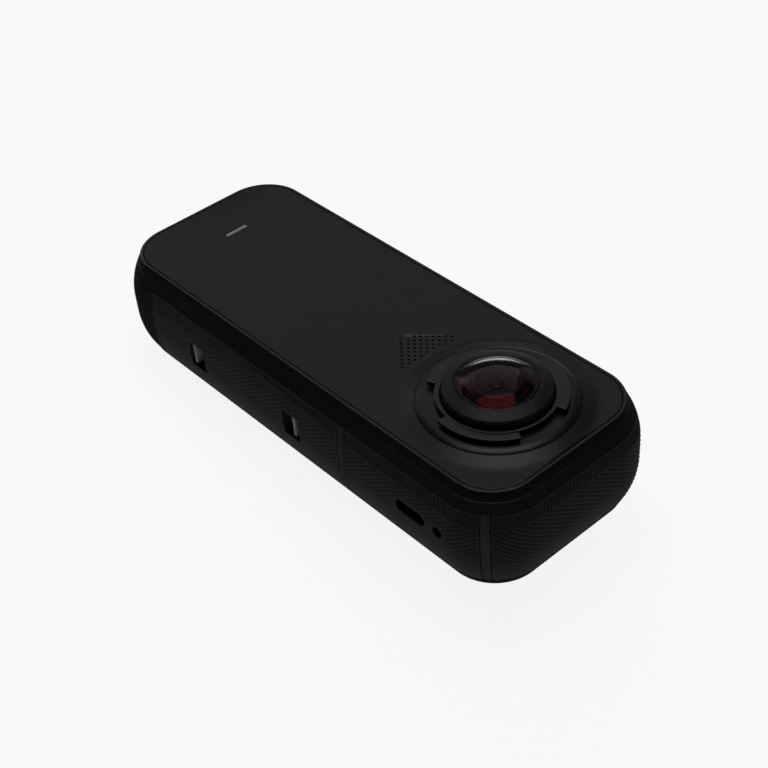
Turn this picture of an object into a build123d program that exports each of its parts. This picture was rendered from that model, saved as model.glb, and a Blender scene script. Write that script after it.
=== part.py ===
from build123d import *

import math
import os

# A dual-lens pocket action camera, in millimetres.
# It lies on its back: +Z out of the front cover, +Y towards the lens end, +X out of the battery side.
# The origin is the middle of the outline, at the height of the rear dome's apex.

# Overall size
body_length = 128.9
body_width = 50.4
body_depth = 25.4
lens_rise = 7.3
corner_radius = 13.6

# Side profile: a narrow flat belt, a full barrel curve, then the rounded bezel
belt_half_height = 2.0
bezel_depth = 2.0
bezel_inset = 2.25
cover_inset = 3.6
belt_curve_radius = 17.945

# Shell
cover_thick = 1.2
cover_radius = 9.6
cover_gap = 0.1
wall_inner_radius = 9.4
frame_top = 2.05
frame_bottom = 23.35
grip_top = 4.35
grip_thick = 0.7

# Positions along Y of the side seams, and the corner angles of the grip ends
base_seam = -48.6
door_low = -47.7
door_high = 18.8
upper_grip_low = 20.95
side_grip_end_angle = 33.0
end_grip_start_angle = 43.0

# Battery and its bay
bay_left, bay_low, bay_high = -14.6, -46.5, 15.0
bay_top, bay_bottom = 7.5, 21.7
bay_wall, bay_floor = 0.6, 0.4
pack_gap = 0.35
door_gap = 0.15
contact_y = (-28.0, -25.0, -22.0, -19.0, -16.0)

# Lenses
lens_y = 40.8
seat_radius = 16.85
seat_inner_radius = 16.3
seat_rise = 1.6
hill_radius = 20.4
hill_rise = 1.0
lug_radius = 14.7
lug_recess_radius = 12.7
lug_span = 72.0
lug_centres = (27.0, 147.0, 267.0)
lug_low, lug_high = 2.2, 3.0
flange_bore = 11.55
grip_ring_radius = 11.4
grip_ring_top = 4.5
scallop_count = 24
glass_radius = 8.5
glass_edge_rise = 5.2
barrel_radius = 10.6
barrel_depth = 11.4

# Ports, latches and buttons: places along Y and depths below the front cover
usb_y, usb_depth, usb_length, usb_height = 40.9, 13.2, 8.4, 3.0
mic_y, mic_radius = 48.7, 1.3
latch_depth = 13.7
latch_slot_length, latch_slot_height = 5.4, 6.6
lower_latch_y, upper_latch_y = -30.6, 3.2
latch_bar_width = 1.0
latch_bar_recess = 0.7
latch_travel = 2.0
side_button_y = (6.0, -10.0)
rear_button_x, rear_button_y, rear_button_radius = 8.6, -44.5, 4.6
button_gap = 0.15
screen_length, screen_width, screen_y = 55.0, 36.0, -7.5
led_x, led_y, led_length, led_width = -1.3, -47.6, 6.2, 1.1
grille_x, grille_y = -1.15, 10.9
grille_step_x, grille_step_y = 0.89, 1.0
grille_hole_radius = 0.3

# Base: quarter-inch tripod thread
tripod_radius = 2.55
tripod_depth = 8.0
insert_radius = 4.6

z_front = lens_rise + body_depth
z_mid = lens_rise + body_depth / 2
core_x = body_width / 2 - corner_radius
core_y = body_length / 2 - corner_radius
half_width = body_width / 2
half_length = body_length / 2
inner_wall_x = core_x + wall_inner_radius


def height(depth):
    """Height of a plane that lies depth below the front cover."""
    return z_front - depth


def block(x, y, depth):
    """A box from its ranges in X, in Y, and in depth below the front cover."""
    size = (x[1] - x[0], y[1] - y[0], depth[1] - depth[0])
    middle = ((x[0] + x[1]) / 2, (y[0] + y[1]) / 2, height((depth[0] + depth[1]) / 2))
    return Pos(*middle) * Box(*size)


def disc(radius, x, y, depth):
    """An upright cylinder from its axis and its range in depth."""
    return Pos(x, y, height((depth[0] + depth[1]) / 2)) * Cylinder(radius, depth[1] - depth[0])


def rod(radius, start, end):
    """A cylinder from one point to another."""
    path = Vector(*end) - Vector(*start)
    return Plane(origin=start, z_dir=path) * Cylinder(
        radius, path.length, align=(Align.CENTER, Align.CENTER, Align.MIN))


def prism(radius, depth):
    """The body's outline at a corner radius, extruded through a range in depth."""
    outline = RectangleRounded(2 * (core_x + radius), 2 * (core_y + radius), radius)
    return Pos(0, 0, height(depth[1])) * extrude(outline, depth[1] - depth[0])


def side_profile(inset):
    """Half of the body's cross-section, from a corner's axis out to the belly."""
    outer = corner_radius - inset
    half = body_depth / 2
    shoulder = half - bezel_depth
    lean = math.asin((shoulder - belt_half_height) / belt_curve_radius)
    belly = TangentArc((outer, belt_half_height), (outer - bezel_inset, shoulder), tangent=(0, 1))
    bezel = TangentArc((outer - bezel_inset, shoulder), (outer - cover_inset, half),
                       tangent=(-math.sin(lean), math.cos(lean)))
    upper = [Line((0, 0), (outer, 0)), Line((outer, 0), (outer, belt_half_height)), belly, bezel,
             Line((outer - cover_inset, half), (0, half)), Line((0, half), (0, 0))]
    top = make_face(upper)
    return top + mirror(top, about=Plane.XZ)


def body_shape(inset=0.0):
    """The whole outer shape of the body, moved in by inset on its sides."""
    face = Plane.XZ * side_profile(inset)
    corner = revolve(face, Axis.Z, 90)
    long_side = extrude(face, core_y, dir=(0, 1, 0), both=True)
    short_side = Rot(0, 0, 90) * extrude(face, core_x, dir=(0, 1, 0), both=True)
    shape = Box(2 * core_x, 2 * core_y, body_depth)
    for turn in (0, 180):
        shape += Rot(0, 0, turn) * Pos(core_x, 0, 0) * long_side
        shape += Rot(0, 0, turn) * Pos(0, core_y, 0) * short_side
    for turn, x, y in ((0, 1, 1), (90, -1, 1), (180, -1, -1), (270, 1, -1)):
        shape += Pos(x * core_x, y * core_y, 0) * Rot(0, 0, turn) * corner
    return Pos(0, 0, z_mid) * shape


def wedge(points, depth):
    """A region of the plan, given by its corners, through a range in depth."""
    face = make_face(Polyline(*points, close=True))
    return Pos(0, 0, height(depth[1])) * extrude(face, depth[1] - depth[0])


def side_region(low, angle, depth):
    """The plan region of the +X side, from a Y up to an angle round the lens-end corner."""
    far = 3 * corner_radius
    turn = math.radians(angle)
    tip = (core_x + far * math.cos(turn), core_y + far * math.sin(turn))
    points = [(core_x, low), (core_x + far, low), (core_x + far, core_y), tip, (core_x, core_y)]
    return wedge(points, depth)


def end_region(angle, depth):
    """The plan region of the lens-end wall, between an angle round each corner."""
    far = 3 * corner_radius
    turn = math.radians(angle)
    tip = (core_x + far * math.cos(turn), core_y + far * math.sin(turn))
    points = [(core_x, core_y), tip, (-tip[0], tip[1]), (-core_x, core_y)]
    return wedge(points, depth)


def front_and_rear(shape):
    """A piece of the front lens, and its twin behind the camera's middle plane."""
    return shape, mirror(shape, about=Plane.XY.offset(z_mid))


def lens_cone(bottom_radius, top_radius, low, high):
    """A cone on the lens axis, from heights above the front cover."""
    middle = z_front + (low + high) / 2
    return Pos(0, lens_y, middle) * Cone(bottom_radius, top_radius, high - low)


def lens_disc(radius, low, high):
    """A cylinder on the lens axis, from heights above the front cover."""
    return Pos(0, lens_y, z_front + (low + high) / 2) * Cylinder(radius, high - low)


def front_to_lens(profile):
    """A profile of radius and height above the cover, turned about the lens axis."""
    face = Plane.XZ * make_face(Polyline(*profile, close=True))
    return Pos(0, lens_y, z_front) * revolve(face, Axis.Z, 360)


# Covers, bezels and frame

def cover_plate():
    plate = prism(cover_radius, (0, cover_thick))
    rim = plate.faces().sort_by(Axis.Z)[-1].outer_wire().edges()
    plate = chamfer(rim, 0.25)
    plate += lens_cone(hill_radius, seat_radius, 0, hill_rise)
    return plate - lens_disc(seat_radius, -2 * cover_thick, 2 * hill_rise)


def grille_places():
    """Holes on a slanted grid, in a corner shape that points away from the lens."""
    places = []
    for row in range(9):
        for column in range(9):
            if 2 <= row + column <= 9:
                places.append((grille_x + (row - column) * grille_step_x,
                               grille_y + (row + column) * grille_step_y))
    return places


def front_cover():
    plate = cover_plate()
    holes = [Pos(x, y) * Circle(grille_hole_radius) for x, y in grille_places()]
    punch = extrude(Sketch() + holes, 2 * cover_thick)
    plate -= Pos(0, 0, height(1.5 * cover_thick)) * punch
    return plate - led_slot(0)


def led_slot(clearance):
    outline = SlotOverall(led_length - 2 * clearance, led_width - 2 * clearance)
    return Pos(led_x, led_y, height(cover_thick)) * extrude(outline, cover_thick)


def bezel_ring(whole):
    ring = whole & prism(corner_radius + 1, (0, bezel_depth))
    ring -= prism(cover_radius + cover_gap, (0, cover_thick))
    return ring - prism(8.5, (cover_thick, bezel_depth))


def housing_frame(whole, grip_zone, regions):
    frame = whole & prism(corner_radius + 1, (frame_top, frame_bottom))
    frame -= prism(wall_inner_radius, (frame_top, frame_bottom))
    for region in regions:
        frame -= grip_zone & region
    frame -= block((core_x, body_width), (door_low - door_gap, door_high + door_gap),
                   (grip_top - door_gap, frame_bottom))
    frame -= usb_mouth(0.1)
    frame -= side_mic_hole()
    for y in side_button_y:
        frame -= side_button_cap(y, button_gap, corner_radius)
    return frame - rod(insert_radius + 0.02, (0, -half_length - 1, z_mid), (0, -half_length + 6, z_mid))


def usb_mouth(clearance):
    outline = SlotOverall(usb_length + 2 * clearance, usb_height + 2 * clearance)
    plane = Plane(origin=(core_x + 5, usb_y, height(usb_depth)), x_dir=(0, 1, 0), z_dir=(1, 0, 0))
    return extrude(plane * outline, corner_radius)


def side_mic_hole():
    centre = height(usb_depth)
    return rod(mic_radius, (core_x + 5, mic_y, centre), (half_width + 1, mic_y, centre))


def side_button_cap(y, clearance, length):
    outline = SlotOverall(9.0 + 2 * clearance, 3.8 + 2 * clearance)
    plane = Plane(origin=(-half_width, y, z_mid), x_dir=(0, 1, 0), z_dir=(1, 0, 0))
    return extrude(plane * outline, length)


def rear_cover():
    plate = mirror(cover_plate(), about=Plane.XY.offset(z_mid))
    plate -= screen_plate(0.08, 3 * cover_thick)
    for x in (-rear_button_x, rear_button_x):
        plate -= disc(rear_button_radius + button_gap, x, rear_button_y,
                      (body_depth - 2 * cover_thick, body_depth + 1))
    return plate


def screen_plate(clearance, thick):
    outline = RectangleRounded(screen_width + 2 * clearance, screen_length + 2 * clearance, 3 + clearance)
    return Pos(0, screen_y, height(body_depth)) * extrude(outline, thick)


# Lenses, modelled at the front and mirrored to the rear

def lens_seat():
    return front_to_lens([(lug_recess_radius - 0.2, -2.0), (seat_radius - 0.05, -2.0),
                          (seat_radius - 0.05, hill_rise), (seat_inner_radius + 0.1, seat_rise),
                          (lug_recess_radius - 0.2, seat_rise)])


def bayonet_flange():
    flange = lens_disc(lug_recess_radius - 0.25, -1.9, lug_low)
    flange += lens_disc(lug_recess_radius, lug_low, lug_high)
    for centre in lug_centres:
        start = centre - lug_span / 2
        sector = revolve(Plane.XZ * Pos((lug_radius + 5) / 2, (lug_low + lug_high) / 2)
                         * Rectangle(lug_radius - 5, lug_high - lug_low), Axis.Z, lug_span)
        flange += Pos(0, lens_y, z_front) * Rot(0, 0, start) * sector
    return flange - lens_disc(flange_bore, -3, lug_high + 1)


def grip_ring():
    """The lens's outer ring: a scalloped rim and a cone up to the glass."""
    ring = front_to_lens([(glass_radius + 0.05, 2.2), (grip_ring_radius, 2.2), (grip_ring_radius, grip_ring_top - 0.4),
                          (grip_ring_radius - 0.3, grip_ring_top), (glass_radius + 0.6, glass_edge_rise + 0.2),
                          (glass_radius + 0.05, glass_edge_rise + 0.05)])
    for turn in range(scallop_count):
        angle = math.radians(turn * 360 / scallop_count)
        x = (grip_ring_radius + 0.55) * math.cos(angle)
        y = (grip_ring_radius + 0.55) * math.sin(angle)
        ring -= Pos(x, lens_y + y, z_front + 4.2) * Cylinder(0.85, 1.6)
    return ring


def spherical_cap(edge_radius, edge_rise, apex_rise, base_rise):
    """A solid of revolution with a domed top and a flat bottom, on the lens axis."""
    sag = apex_rise - edge_rise
    ball = (edge_radius ** 2 + sag ** 2) / (2 * sag)
    centre = apex_rise - ball
    half = math.asin(edge_radius / ball) / 2
    middle = (ball * math.sin(half), centre + ball * math.cos(half))
    edges = [Line((0, base_rise), (edge_radius, base_rise)),
             Line((edge_radius, base_rise), (edge_radius, edge_rise)),
             ThreePointArc((edge_radius, edge_rise), middle, (0, apex_rise)),
             Line((0, apex_rise), (0, base_rise))]
    return Pos(0, lens_y, z_front) * revolve(Plane.XZ * make_face(edges), Axis.Z, 360)


def dome_glass():
    dome = spherical_cap(glass_radius, glass_edge_rise, lens_rise, 4.0)
    return dome - spherical_cap(glass_radius - 1.2, 4.6, lens_rise - 1.1, 3.9)


def dome_seal():
    return front_to_lens([(glass_radius - 1.15, 3.5), (glass_radius, 3.5), (glass_radius, 3.95),
                          (glass_radius - 1.15, 3.95)])


def lens_barrel():
    """A stepped tube below the dome that holds the inner lenses."""
    return front_to_lens([(4.4, 3.4), (6.8, 3.4), (6.8, -1.0), (barrel_radius, -1.6), (barrel_radius, -barrel_depth),
                          (7.0, -barrel_depth), (7.0, -9.0), (4.4, -3.0)])


def inner_lenses():
    """Three glass elements stacked in the barrel."""
    top = spherical_cap(4.3, 3.0, 4.3, 1.6)
    middle = lens_disc(4.3, -1.6, 0.4)
    bottom = lens_disc(4.3, -2.9, -2.2)
    return Compound(children=[top, middle, bottom])


def image_sensor():
    """A sensor chip on its own small board, across the bottom of the barrel."""
    y = (lens_y - 7.5, lens_y + 7.5)
    board = block((-9, 9), y, (barrel_depth + 0.3, barrel_depth + 0.9))
    chip = block((-5, 5), (lens_y - 4, lens_y + 4), (barrel_depth - 0.7, barrel_depth + 0.3))
    return board + chip


# Battery and its latches

def battery_door(whole):
    slab = whole & block((core_x, body_width), (door_low, door_high), (grip_top, frame_bottom - 0.1))
    slab -= block((0, inner_wall_x + 0.3), (door_low, door_high), (grip_top - 1, frame_bottom + 1))
    for y in (lower_latch_y, upper_latch_y):
        slab -= block((inner_wall_x, body_width), (y - latch_slot_length / 2, y + latch_slot_length / 2),
                      (latch_depth - latch_slot_height / 2, latch_depth + latch_slot_height / 2))
    return slab


def battery_pack():
    """The cell in its casing, with a shallow pocket behind each latch."""
    casing = block((bay_left + pack_gap, inner_wall_x + 0.2), (bay_low + pack_gap, bay_high - pack_gap),
                   (bay_top + pack_gap, bay_bottom - pack_gap))
    for y in (lower_latch_y, upper_latch_y):
        casing -= block((inner_wall_x - 2.2, inner_wall_x + 1), (y - 6.2, y + 6.2),
                        (latch_depth - 4.2, latch_depth + 4.2))
    return casing


def battery_seal():
    """A flat gasket round the mouth of the bay, behind the door."""
    y = (door_low + 0.2, door_high - 0.05)
    depth = (grip_top + 0.7, frame_bottom - 0.3)
    ring = block((inner_wall_x - 0.4, inner_wall_x + 0.25), y, depth)
    return ring - block((0, body_width), (bay_low + 0.1, bay_high - 0.1), (bay_top + 0.1, bay_bottom - 0.1))


def battery_terminals():
    """Five gold pads at the inner end of the pack."""
    x = (bay_left + 0.1, bay_left + pack_gap)
    pads = [block(x, (y - 0.9, y + 0.9), (12.5, 16.5)) for y in contact_y]
    return Compound(children=pads)


def latch(y, bar_offset):
    """A slider behind the door, with the bar that shows in the slot."""
    plate = block((inner_wall_x - 1.2, inner_wall_x + 0.1), (y - 4.0, y + 4.0),
                  (latch_depth - 3.9, latch_depth + 3.9))
    centre = y + bar_offset
    bar = block((inner_wall_x + 0.05, half_width - latch_bar_recess), (centre - latch_bar_width / 2, centre + latch_bar_width / 2),
                (latch_depth - latch_slot_height / 2 + 0.15, latch_depth + latch_slot_height / 2 - 0.15))
    return plate + bar


def latch_springs():
    """A strip spring behind each latch, in the bottom of its pocket."""
    strips = []
    for y in (lower_latch_y, upper_latch_y):
        for side in (-1, 1):
            strips.append(block((inner_wall_x - 1.9, inner_wall_x - 1.7), (y - 5.5, y + 5.5),
                                (latch_depth + 2.5 * side - 0.6, latch_depth + 2.5 * side + 0.6)))
    return Compound(children=strips)


# Buttons

def rear_button(x):
    """A round cap that stands 0.3 mm out of the rear cover, with a flange behind it."""
    cap = disc(rear_button_radius, x, rear_button_y, (body_depth - 1.9, body_depth + 0.3))
    rim = cap.faces().sort_by(Axis.Z)[0].edges()
    cap = fillet(rim, 0.35)
    flange = disc(rear_button_radius + 0.8, x, rear_button_y, (body_depth - 2.3, body_depth - 1.75))
    return cap + flange


def side_button(y):
    """A pill-shaped cap, flush with the widest part of the side, with a flange behind the wall."""
    cap = side_button_cap(y, 0, half_width - inner_wall_x + 0.8)
    outline = SlotOverall(10.6, 5.4)
    plane = Plane(origin=(-inner_wall_x + 0.5, y, z_mid), x_dir=(0, 1, 0), z_dir=(1, 0, 0))
    return cap + extrude(plane * outline, 0.6)


def button_switches():
    """Four tactile switches, one behind each button."""
    side = [block((-inner_wall_x + 1.8, -inner_wall_x + 3.4), (y - 1.8, y + 1.8), (11.2, 14.2))
            for y in side_button_y]
    rear = [block((x - 2, x + 2), (rear_button_y - 2, rear_button_y + 2), (22.15, 22.5))
            for x in (-rear_button_x, rear_button_x)]
    return Compound(children=side + rear)


# Inside

def battery_bay():
    """A five-sided box that keeps the battery's bay apart from the electronics."""
    box = block((bay_left - bay_wall, inner_wall_x - 0.5), (bay_low - bay_wall, bay_high + bay_wall),
                (bay_top - bay_wall, bay_bottom + bay_floor))
    box -= block((bay_left, body_width), (bay_low, bay_high), (bay_top, bay_bottom))
    box -= block((bay_left - 2, bay_left + 1), (contact_y[0] - 1.5, contact_y[-1] + 1.5), (11.5, 17.5))
    for x, y in screw_places():
        box += disc(1.6, x, y, (4.2, bay_top - bay_wall))
        box -= disc(0.82, x, y, (3.0, bay_top - bay_wall - 0.2))
    return box


def screw_places():
    return [(x, y) for x in (-11.0, 14.0) for y in (-43.0, -18.0, 7.0)]


def board_screws():
    """Six pan-head screws that hold the main board to the bay."""
    screws = []
    for x, y in screw_places():
        screws.append(disc(1.4, x, y, (2.45, 3.15)) + disc(0.8, x, y, (3.1, 6.4)))
    return Compound(children=screws)


def main_board():
    board = block((-19.0, 19.0), (-49.0, 24.0), (3.2, 4.15))
    board -= disc(lug_recess_radius + 1.5, 0, lens_y, (2, 6))
    for x, y in screw_places():
        board -= disc(0.85, x, y, (2, 6))
    return board


def chips():
    """The processor, memory and power chips on the underside of the main board."""
    sizes = ((1.5, -5.5, 13.0, 13.0), (1.5, -30.5, 9.0, 11.0), (-18.0, -31.0, 5.0, 5.0), (17.7, -7.0, 2.4, 6.0))
    return Compound(children=[block((x - w / 2, x + w / 2), (y - h / 2, y + h / 2), (4.2, 5.5)) if abs(x) < 5
                              else block((x - w / 2, x + w / 2), (y - h / 2, y + h / 2), (4.2, 5.0))
                              for x, y, w, h in sizes])


def heat_spreader():
    plate = block((-17.0, 17.0), (-46.0, 5.0), (1.4, 2.2))
    for x, y in screw_places():
        plate -= disc(1.9, x, y, (1, 3))
    return plate


def speaker():
    return block((-7.5, 7.5), (10.3, 19.5), (1.55, 2.95))


def grille_mesh():
    return block((grille_x - 7.8, grille_x + 7.8), (11.3, 21.6), (1.25, 1.45)) - lens_disc(seat_radius + 0.4, -3, 3)


def led_window():
    foot = block((led_x - led_length / 2, led_x + led_length / 2), (led_y - 0.7, led_y + 0.7), (1.2, 1.35))
    return led_slot(0.03) + foot


def usb_socket():
    """A receptacle shell with its tongue, just inside the side wall."""
    length, tall = 8.94, 3.2
    plane = Plane(origin=(14.6, usb_y, height(usb_depth)), x_dir=(0, 1, 0), z_dir=(1, 0, 0))
    shell = extrude(plane * SlotOverall(length, tall), 6.3)
    shell -= extrude(plane.offset(0.9) * SlotOverall(length - 0.6, tall - 0.6), 6.3)
    return shell + block((15.0, 20.4), (usb_y - 3.35, usb_y + 3.35), (usb_depth - 0.35, usb_depth + 0.35))


def usb_board():
    return block((12.4, 20.7), (usb_y - 6.5, usb_y + 6.5), (usb_depth + 1.7, usb_depth + 2.5))


def microphones():
    """One behind the side hole and one at the grille."""
    side = block((18.6, 20.8), (mic_y - 1.7, mic_y + 1.7), (usb_depth - 1.7, usb_depth + 1.7))
    front = block((9.5, 12.5), (15.0, 18.5), (1.55, 2.7))
    return Compound(children=[side, front])


def memory_card():
    return block((-7.5, 7.5), (17.4, 28.2), (14.4, 15.4))


def card_slot():
    tray = block((-8.3, 8.3), (16.6, 28.6), (13.9, 15.9))
    return tray - block((-7.6, 7.6), (16.0, 28.3), (14.3, 15.5))


def contact_block():
    """Five spring pins that reach through the bay's wall to the battery's pads."""
    body = block((-19.0, bay_left - bay_wall - 0.1), (contact_y[0] - 1.4, contact_y[-1] + 1.4), (12.0, 17.0))
    for y in contact_y:
        body += rod(0.5, (bay_left - bay_wall - 0.2, y, height(14.5)), (bay_left + 0.08, y, height(14.5)))
    return body


def side_switch_board():
    return block((-17.5, -16.9), (-13.8, 12.0), (8.5, 16.5))


def display_panel():
    return block((-17.0, 17.0), (screen_y - 26.5, screen_y + 26.5), (22.3, 24.0))


def display_flex():
    """A folded ribbon from the display's edge, round the bay's wall, to the main board."""
    points = ((-17.1, 23.2), (-18.6, 23.2), (-18.6, 6.0), (-18.6, 4.3), (-17.0, 4.3))
    ribbon = None
    for (x0, d0), (x1, d1) in zip(points, points[1:]):
        piece = block((min(x0, x1) - 0.06, max(x0, x1) + 0.06), (-40.0, -33.5),
                      (min(d0, d1) - 0.06, max(d0, d1) + 0.06))
        ribbon = piece if ribbon is None else ribbon + piece
    return ribbon


def sensor_flexes():
    """One ribbon from each image sensor's board to the main board's edge."""
    front = block((-3.5, 3.5), (30.5, 33.2), (11.85, 11.97))
    rear = block((-3.5, 3.5), (30.5, 33.2), (body_depth - 11.97, body_depth - 11.85))
    return Compound(children=[front, rear])


def antenna():
    return block((-9.0, 9.0), (core_y + wall_inner_radius - 0.35, core_y + wall_inner_radius - 0.15), (4.0, 10.0))


def tripod_insert():
    start = (0, -half_length, z_mid)
    insert = rod(insert_radius, start, (0, -half_length + tripod_depth + 1.3, z_mid))
    return insert - rod(tripod_radius, (0, -half_length - 1, z_mid), (0, -half_length + tripod_depth, z_mid))


def make_parts():
    whole = body_shape()
    skin_zone = (whole - body_shape(grip_thick)) & prism(corner_radius + 1, (grip_top, frame_bottom - 0.1))
    depth = (grip_top - 1, frame_bottom + 1)
    right = side_region(upper_grip_low, side_grip_end_angle, depth)
    left = mirror(side_region(base_seam, side_grip_end_angle, depth), about=Plane.YZ)
    end = end_region(end_grip_start_angle, depth)
    grip_right = (skin_zone & right) - usb_mouth(0) - side_mic_hole()
    grip_left = skin_zone & left
    for y in side_button_y:
        grip_left -= side_button_cap(y, button_gap, corner_radius)
    parts = {
        "front_cover": front_cover(),
        "front_bezel": bezel_ring(whole),
        "rear_bezel": mirror(bezel_ring(whole), about=Plane.XY.offset(z_mid)),
        "rear_cover": rear_cover(),
        "housing_frame": housing_frame(whole, skin_zone, (right, left, end)),
        "side_grip_battery_side": grip_right,
        "side_grip_button_side": grip_left,
        "side_grip_lens_end": skin_zone & end,
        "touchscreen_glass": screen_plate(0, 1.2),
        "display_panel": display_panel(),
        "display_flex": display_flex(),
        "battery_door": battery_door(whole),
        "battery_pack": battery_pack(),
        "battery_seal": battery_seal(),
        "battery_terminals": battery_terminals(),
        "lower_battery_latch": latch(lower_latch_y, -2.0),
        "upper_battery_latch": latch(upper_latch_y, 0.3),
        "latch_springs": latch_springs(),
        "shutter_button": rear_button(-rear_button_x),
        "lens_button": rear_button(rear_button_x),
        "power_button": side_button(side_button_y[0]),
        "quick_button": side_button(side_button_y[1]),
        "button_switches": button_switches(),
        "side_switch_board": side_switch_board(),
        "battery_bay": battery_bay(),
        "contact_block": contact_block(),
        "main_board": main_board(),
        "board_chips": chips(),
        "board_screws": board_screws(),
        "heat_spreader": heat_spreader(),
        "speaker": speaker(),
        "grille_mesh": grille_mesh(),
        "led_window": led_window(),
        "usb_socket": usb_socket(),
        "usb_board": usb_board(),
        "microphones": microphones(),
        "memory_card": memory_card(),
        "card_slot": card_slot(),
        "sensor_flexes": sensor_flexes(),
        "wireless_antenna": antenna(),
        "tripod_insert": tripod_insert(),
    }
    lens_pieces = {"lens_seat": lens_seat, "bayonet_flange": bayonet_flange, "lens_grip_ring": grip_ring,
                   "dome_glass": dome_glass, "dome_seal": dome_seal, "lens_barrel": lens_barrel,
                   "inner_lenses": inner_lenses, "image_sensor": image_sensor}
    for name, piece in lens_pieces.items():
        parts["front_" + name], parts["rear_" + name] = front_and_rear(piece())
    return parts


if __name__ == "__main__":
    os.makedirs("parts", exist_ok=True)
    for name, shape in make_parts().items():
        export_step(shape, f"parts/{name}.step")
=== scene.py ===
import math

import bpy
import numpy as np
from mathutils import Matrix, Vector


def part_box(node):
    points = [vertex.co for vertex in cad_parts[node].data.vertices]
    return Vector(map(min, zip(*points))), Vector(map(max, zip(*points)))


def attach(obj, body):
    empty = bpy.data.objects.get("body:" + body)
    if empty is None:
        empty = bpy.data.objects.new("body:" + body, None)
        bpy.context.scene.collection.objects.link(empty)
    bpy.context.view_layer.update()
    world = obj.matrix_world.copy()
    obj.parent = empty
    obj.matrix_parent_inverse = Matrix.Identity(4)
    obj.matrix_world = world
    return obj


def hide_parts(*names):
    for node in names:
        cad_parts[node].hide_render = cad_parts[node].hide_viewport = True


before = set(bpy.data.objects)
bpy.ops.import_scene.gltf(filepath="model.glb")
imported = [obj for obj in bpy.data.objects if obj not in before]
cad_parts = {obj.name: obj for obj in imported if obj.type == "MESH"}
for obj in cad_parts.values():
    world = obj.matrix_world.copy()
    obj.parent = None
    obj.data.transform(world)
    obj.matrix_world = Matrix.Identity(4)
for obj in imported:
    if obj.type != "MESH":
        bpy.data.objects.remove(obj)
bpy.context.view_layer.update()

bl_info = {
    "name": "Action Camera Builder",
    "version": (1, 0, 0),
    "blender": (4, 5, 0),
    "location": "View3D > Sidebar > Camera",
    "description": "Builds the shells, grips, lenses, controls and finishes of a dual-lens action camera",
    "category": "Add Mesh",
}

# Lengths in this file are millimetres, and MM turns them to the scene's metres.
MM = 0.001
MERGE = 0.002 * MM


def node_box(name):
    """A CAD node's lowest and highest corners, in millimetres."""
    low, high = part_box(name)
    return low / MM, high / MM


def node_middle(name):
    low, high = node_box(name)
    return (low + high) / 2


bezel_low, bezel_high = node_box("front_bezel")
door_box = node_box("battery_door")
dome_low, dome_high = node_box("front_dome_glass")

# Body: a rounded rectangle in plan, with a belt, a shallow belly and rounded bezels
corner_radius = 13.6
half_width = node_box("housing_frame")[1].x
half_length = -node_box("housing_frame")[0].y
core_x = half_width - corner_radius
core_y = half_length - corner_radius
z_front = bezel_high.z
z_rear = node_box("rear_bezel")[0].z
z_mid = (z_front + z_rear) / 2
half_depth = (z_front - z_rear) / 2
bezel_depth = 2.0
belt_half_height = 2.0
belly_radius = 17.945
shoulder_radius = 11.35
rim_radius = 10.0
cover_radius = 9.6
inner_radius = 9.4
frame_top, frame_bottom = 2.05, 23.35
grip_top, grip_bottom = 4.35, 23.25
grip_thick = 0.7

# Where the side panels start and end: along the sides, and round the corners in degrees
door_low, door_high = door_box[0].y, door_box[1].y
post_low, post_high = door_high + 0.15, node_box("side_grip_battery_side")[0].y - 0.2
upper_grip_low = node_box("side_grip_battery_side")[0].y
side_grip_turn, end_grip_turn = 33.0, 43.0
strip_low, strip_high = 33.9, 42.2
base_seam = 48.6

# Lens parts, as radii and heights above the front cover
lens_y = (dome_low.y + dome_high.y) / 2
seat_radius = 16.8
hill_radius, hill_rise = 20.4, 1.0
glass_radius = (dome_high.x - dome_low.x) / 2
scallop_count = 24
lug_centres = (27.0, 147.0, 267.0)
lug_span = 72.0


class CameraSizes(bpy.types.PropertyGroup):
    rib_pitch: bpy.props.FloatProperty(
        name="Rib pitch", description="Distance across one rib of the grips",
        default=0.95 * MM, min=0.4 * MM, precision=5, unit="LENGTH")
    rib_depth: bpy.props.FloatProperty(
        name="Rib depth", description="How deep the grooves between ribs are",
        default=0.24 * MM, min=0.0, precision=5, unit="LENGTH")
    lower_lean: bpy.props.FloatProperty(
        name="Lower rib lean", description="Angle of the lower ribs to the body's length",
        default=math.radians(33), subtype="ANGLE")
    upper_lean: bpy.props.FloatProperty(
        name="Upper rib lean", description="Angle of the upper ribs to the body's length",
        default=math.radians(69), subtype="ANGLE")
    edge_round: bpy.props.FloatProperty(
        name="Edge radius", description="Rounding of the moulded panels' edges",
        default=0.14 * MM, min=0.02 * MM, precision=5, unit="LENGTH")
    grille_hole: bpy.props.FloatProperty(
        name="Grille hole", description="Diameter of one hole of the speaker grille",
        default=0.62 * MM, min=0.2 * MM, precision=5, unit="LENGTH")
    dome_rise: bpy.props.FloatProperty(
        name="Dome rise", description="Height of the dome's apex over the cover",
        default=dome_high.z * MM - z_front * MM, precision=5, unit="LENGTH")


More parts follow.
